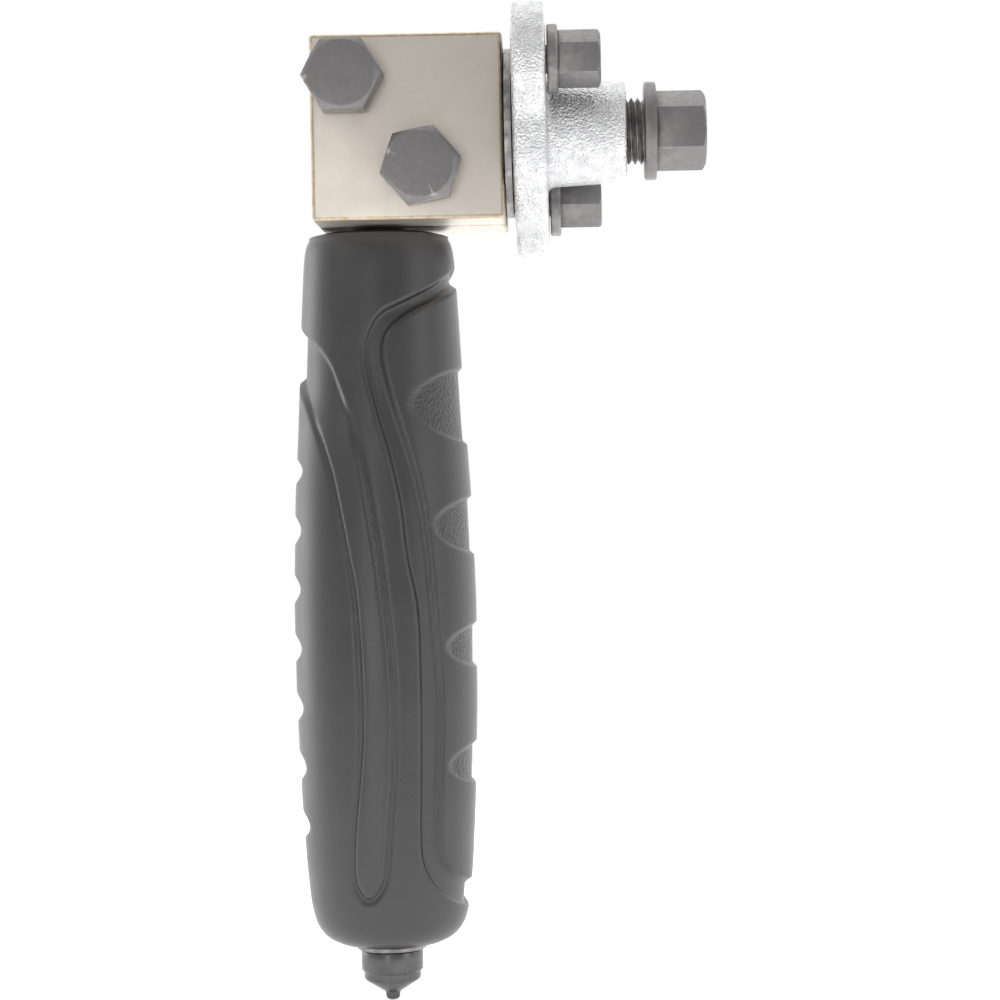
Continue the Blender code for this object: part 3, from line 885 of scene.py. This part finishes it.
# Rows of (radius, height) in millimetres down the grip's side, evenly spaced and blended into one curve
def gripRows():
    radii = np.array([radius for radius, _ in gripRadii])
    heights = np.array([z for _, z in gripRadii])
    length = np.concatenate([[0], np.cumsum(np.hypot(np.diff(radii), np.diff(heights)))])
    steps = np.linspace(0, length[-1], gripLook["rows"])
    radius, height = np.interp(steps, length, radii), np.interp(steps, length, heights)
    kernel = np.hanning(gripLook["rowBlend"])[1:-1] / np.hanning(gripLook["rowBlend"])[1:-1].sum()
    inner = slice(gripLook["rowBlend"] // 2, -(gripLook["rowBlend"] // 2))
    radius[inner] = np.convolve(radius, kernel, "same")[inner]
    height[inner] = np.convolve(height, kernel, "same")[inner]
    return radius, height


def mouldedGrip():
    radius, height = gripRows()
    profile = [(r * mm, z * mm) for r, z in zip(radius, height)]
    profile += [(gripLook["bore"], height[-1] * mm), (gripLook["bore"], height[0] * mm), profile[0]]
    grip = spun("moulded_grip", profile, gripLook["around"])
    count = len(grip.data.vertices)
    points = np.empty(count * 3)
    grip.data.vertices.foreach_get("co", points)
    points = points.reshape(-1, 3)
    outwards = np.hypot(points[:, 0], points[:, 1])
    angle = np.arctan2(-points[:, 1], points[:, 0])
    relief, texture = gripRelief(angle, points[:, 2] / mm, outwards / mm)
    skin = outwards > gripLook["bore"] + gripLook["skin"]
    aboveFoot = points[:, 2] / mm - gripLook["footFrom"]
    relief = np.where(skin, relief, 0) * easeStep(aboveFoot / gripLook["footFade"])
    grow = 1 + relief * mm / outwards
    points[:, 0] *= grow
    points[:, 1] *= grow * np.where(skin, gripLook["depthShare"], 1)
    grip.data.vertices.foreach_set("co", points.ravel())
    mask = grip.data.attributes.new("textured", "FLOAT", "POINT")
    mask.data.foreach_set("value", np.where(skin, texture, 0).astype(np.float32))
    middle = middleOf("grip")
    place(grip, (middle.x, middle.y, 0))
    pick(grip)
    bpy.ops.object.shade_smooth()
    surface(grip, materials["gripPlastic"])
    standIn(grip, "clamp_block", "grip_plastic", "grip")


texturedOvals(materials["gripPlastic"])
mouldedGrip()
print("grip made")

plugLook = {"shank": 5.6 * mm, "shoulder": -200.2 * mm, "sides": 96}
plugRim = (  # how far in from the rim, and down from the shoulder, in millimetres
    (0.35, 0), (0.1, 0.12), (0, 0.4), (0, 4.6), (0.1, 4.85), (0.6, 5.4), (0.6, 6.7), (0.75, 7.1), (1.1, 7.5),
)
plugCone = ((3.0, 9.8), (2.2, 10.25), (1.85, 10.7))  # radius, and how far down from the shoulder
plugTip = ((1.7, 0.6), (1.45, 0.2), (0.9, 0))  # radius, and how far up from the tip


def endPlug():
    low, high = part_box("end_plug")
    middle = middleOf("end_plug")
    outer = (high.x - low.x) / 2
    top = plugLook["shoulder"]
    profile = [(0, high.z), (plugLook["shank"], high.z), (plugLook["shank"], top)]
    profile += [(outer - inset * mm, top - drop * mm) for inset, drop in plugRim]
    profile += [(radius * mm, top - drop * mm) for radius, drop in plugCone]
    profile += [(radius * mm, low.z + rise * mm) for radius, rise in plugTip]
    profile.append((0, low.z))
    plug = spun("end_plug_turned", profile, plugLook["sides"])
    place(plug, (middle.x, middle.y, 0))
    smooth(plug, 25)
    surface(plug, materials["turnedSteel"])
    standIn(plug, "clamp_block", "turned_steel", "end_plug")


washerLook = {"hole": 6.2 * mm, "ease": 0.25 * mm, "sides": 96}


# The dark ring between the grip and the plug
def endWasher():
    low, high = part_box("end_washer")
    middle = middleOf("end_plug")
    outer = (high.x - low.x) / 2
    hole, ease = washerLook["hole"], washerLook["ease"]
    washer = spun("end_washer_turned", [
        (hole, high.z), (outer - ease, high.z), (outer, high.z - ease), (outer, low.z + ease),
        (outer - ease, low.z), (hole, low.z), (hole, high.z),
    ], washerLook["sides"])
    place(washer, (middle.x, middle.y, 0))
    smooth(washer, 25)
    surface(washer, materials["blackenedSteel"])
    standIn(washer, "clamp_block", "blackened_steel", "end_washer")


endPlug()
endWasher()
print("end plug and washer made")

innerFinishes = {
    # painted shade: the index plate takes the dark blackened finish so that it reads as the shadowed gap
    # between the block and the turret
    "blackenedSteel": ("index_plate",),
    "turnedSteel": (
        "index_plate_screw_upper", "index_plate_screw_lower", "turret_circlip", "dowel_pin_upper",
        "dowel_pin_lower", "handle_rod", "forming_punch", "upper_die", "lower_die",
    ),
}
for finish, nodes in innerFinishes.items():
    for node in nodes:
        surface(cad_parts[node], materials[finish])
print("inner pieces finished")

studio = {
    "floorRadius": 0.55, "floorDrop": 0.2 * mm,
    "paper": (0.93, 0.93, 0.93), "paperRough": 0.9, "paperGlow": 0.62, "paperSeen": 1.0,
    "skyFront": 0.57, "skyBack": 1.5, "skyFrom": -0.35, "skyTo": 0.5,
}


# A pale round floor just under the end plug's tip
def paleFloor():
    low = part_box("end_plug")[0]
    deselectAll()
    bpy.ops.mesh.primitive_circle_add(
        vertices=128, radius=studio["floorRadius"], fill_type="NGON",
        location=(0, 0, low.z - studio["floorDrop"]),
    )
    sheet = newest("floor")
    settle(sheet)
    paper = bpy.data.materials.new("paper")
    paper.use_nodes = True
    shader = paper.node_tree.nodes["Principled BSDF"]
    shader.inputs["Base Color"].default_value = (*studio["paper"], 1)
    shader.inputs["Roughness"].default_value = studio["paperRough"]
    shader.inputs["Emission Color"].default_value = (1, 1, 1, 1)
    shader.inputs["Emission Strength"].default_value = studio["paperGlow"]
    surface(sheet, paper)


def lamp(name, at, target, size, power):
    data = bpy.data.lights.new(name, "AREA")
    data.shape = "RECTANGLE"
    data.size, data.size_y = size
    data.energy = power
    light = bpy.data.objects.new(name, data)
    bpy.context.scene.collection.objects.link(light)
    light.location = at
    light.rotation_euler = (Vector(target) - Vector(at)).to_track_quat("-Z", "Y").to_euler()


lamps = {  # place, aim, width and height, power
    "key": ((-0.2, -0.92, -0.22), (0, 0, -0.12), (0.12, 0.55), 0.75),
    "upperLeft": ((-0.55, -0.5, 0.45), (0, 0, -0.06), (0.4, 0.4), 0.6),
    "right": ((0.75, -0.45, -0.02), (0, 0, -0.08), (0.4, 0.6), 0.7),
    "top": ((0.0, -0.05, 0.7), (0.02, 0, 0), (0.5, 0.5), 0.5),
    "left": ((-0.7, 0.3, -0.1), (0, 0, -0.1), (0.4, 0.6), 1.2),
}


# White where the camera sees it. What lights the tool is dimmer in front than behind
def studioLights():
    world = bpy.data.worlds.new("studio")
    bpy.context.scene.world = world
    world.use_nodes = True
    tree = world.node_tree
    sky = tree.nodes["Background"]
    sky.inputs["Color"].default_value = (1, 1, 1, 1)
    where = addNode(tree, "ShaderNodeTexCoord", (-900, 0))
    split = addNode(tree, "ShaderNodeSeparateXYZ", (-700, 0))
    soften = addNode(tree, "ShaderNodeMapRange", (-500, 0))
    soften.inputs["From Min"].default_value = studio["skyFrom"]
    soften.inputs["From Max"].default_value = studio["skyTo"]
    soften.inputs["To Min"].default_value = studio["skyFront"]
    soften.inputs["To Max"].default_value = studio["skyBack"]
    path = addNode(tree, "ShaderNodeLightPath", (-500, 300))
    mix = addNode(tree, "ShaderNodeMix", (-250, 100), data_type="FLOAT")
    mix.inputs[3].default_value = studio["paperSeen"]
    link = tree.links.new
    link(where.outputs["Generated"], split.inputs["Vector"])
    link(split.outputs["Y"], soften.inputs["Value"])
    link(soften.outputs["Result"], mix.inputs[2])
    link(path.outputs["Is Camera Ray"], mix.inputs["Factor"])
    link(mix.outputs[0], sky.inputs["Strength"])
    for name, (at, target, size, power) in lamps.items():
        lamp(name, at, target, size, power)


view = {"at": (0.0372, -0.636, -0.0898), "roll": 0.0192, "lens": 90.7, "shiftX": -0.07}


def cameraInFront():
    data = bpy.data.cameras.new("camera")
    data.lens = view["lens"]
    data.sensor_width = 36
    data.shift_x = view["shiftX"]
    data.clip_start = 0.01
    camera = bpy.data.objects.new("camera", data)
    bpy.context.scene.collection.objects.link(camera)
    camera.location = view["at"]
    camera.rotation_euler = (math.pi / 2, view["roll"], 0)
    bpy.context.scene.camera = camera


paleFloor()
studioLights()
cameraInFront()
bpy.context.scene.view_settings.view_transform = "Standard"
print("studio set")
